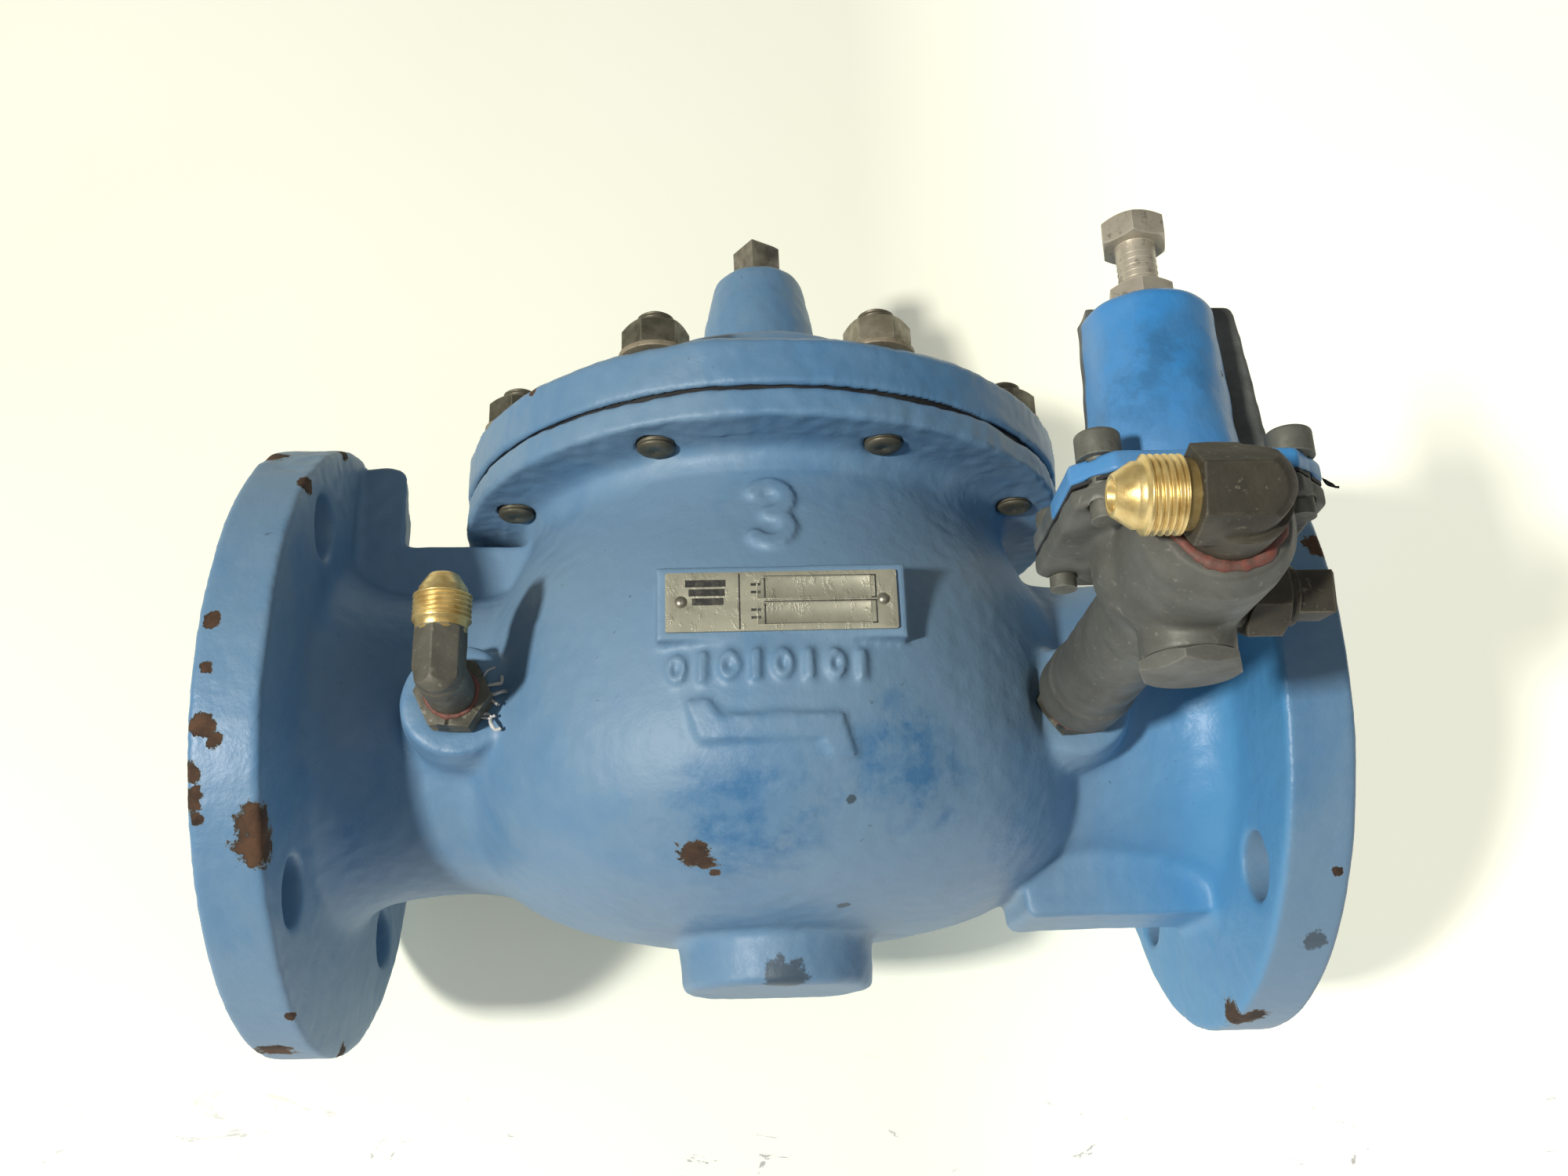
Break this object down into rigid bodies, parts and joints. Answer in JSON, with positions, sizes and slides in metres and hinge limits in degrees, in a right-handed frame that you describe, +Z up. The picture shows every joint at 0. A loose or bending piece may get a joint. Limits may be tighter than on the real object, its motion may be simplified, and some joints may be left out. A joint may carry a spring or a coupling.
{
  "type": "pilot-operated diaphragm control valve",
  "caption": "Flanged globe-pattern diaphragm control valve with a spring-loaded pilot on its side, a flare elbow on the inlet flank, and a lifting disc stack inside.",
  "frame": {"origin": "centre of the inlet flange's bolt circle, on its gasket face", "axes": "+X along the pipe bore in the flow direction, +Z up along the stem through the cover, -Y towards the pilot"},
  "size_m": [0.3048, 0.3154, 0.2818],
  "materials": {
    "blue_epoxy": "satin epoxy coating on cast iron",
    "bronze": "machined",
    "brass": "machined",
    "olive_brass": "matt grey-olive tarnish, flare ends bright",
    "grey_bronze": "matt grey tarnish",
    "plated_steel": "dull plated",
    "stainless": "satin",
    "spring_steel": "satin",
    "grey_iron": "matt",
    "rubber": "matt",
    "plate_aluminium": "satin"
  },
  "bodies": {
    "base": {"valve_body": "blue_epoxy", "seat_ring": "bronze", "cover": "blue_epoxy", "cover_studs": "plated_steel", "cover_washers": "plated_steel", "cover_nuts": "plated_steel", "cover_plug": "grey_iron", "cover_bearing": "bronze", "diaphragm": "rubber", "main_spring": "stainless", "nameplate": "plate_aluminium", "nameplate_rivets": "plated_steel", "inlet_bushing": "olive_brass", "inlet_elbow": "olive_brass", "outlet_nipple": "olive_brass", "pilot_body": "grey_bronze", "pilot_bottom_plug": "grey_bronze", "pilot_side_bushing": "olive_brass", "pilot_side_plug": "olive_brass", "pilot_elbow": "olive_brass", "pilot_seat": "brass", "pilot_diaphragm": "rubber", "pilot_spring": "spring_steel", "pilot_bonnet": "blue_epoxy", "pilot_cap_screws": "plated_steel"},
    "main_stem": {"stem": "stainless", "stem_nut": "stainless", "diaphragm_washer": "blue_epoxy", "disc_retainer": "blue_epoxy", "valve_disc": "rubber", "disc_guide": "bronze"},
    "pilot_stem_group": {"pilot_stem": "stainless", "pilot_disc": "rubber", "pilot_spring_seat": "stainless", "pilot_stem_nut": "stainless"},
    "spring_guide_body": {"pilot_spring_guide": "stainless"},
    "adjusting_screw_body": {"adjusting_screw": "stainless"},
    "lock_nut_body": {"lock_nut": "stainless"}
  },
  "joints": [
    {"name": "main_lift", "type": "slide", "parent": "base", "child": "main_stem", "axis": [0, 0, 1], "range_m": [0, 0.02], "stiffness_N_per_m": 1500, "springref_m": -0.02, "deforming": ["diaphragm", "main_spring"]},
    {"name": "pilot_lift", "type": "slide", "parent": "base", "child": "pilot_stem_group", "axis": [0, 0, 1], "range_m": [0, 0.0015], "stiffness_N_per_m": 12000, "springref_m": -0.004, "deforming": ["pilot_diaphragm"]},
    {"name": "adjusting_travel", "type": "slide", "parent": "base", "child": "spring_guide_body", "axis": [0, 0, 1], "range_m": [-0.00635, 0.00635], "deforming": ["pilot_spring"]},
    {"name": "adjusting_turn", "type": "hinge", "parent": "spring_guide_body", "child": "adjusting_screw_body", "pos_m": [0.2384, -0.1636, 0.05], "axis": [0, 0, 1], "range_deg": [-1441, 1441]},
    {"name": "lock_nut_turn", "type": "hinge", "parent": "base", "child": "lock_nut_body", "pos_m": [0.2384, -0.1636, 0.06], "axis": [0, 0, 1], "range_deg": [0, 90]}
  ],
  "couplings": [
    {"joint": "adjusting_turn", "follows": "adjusting_travel", "rad_per_m": 3957.9}
  ]
}
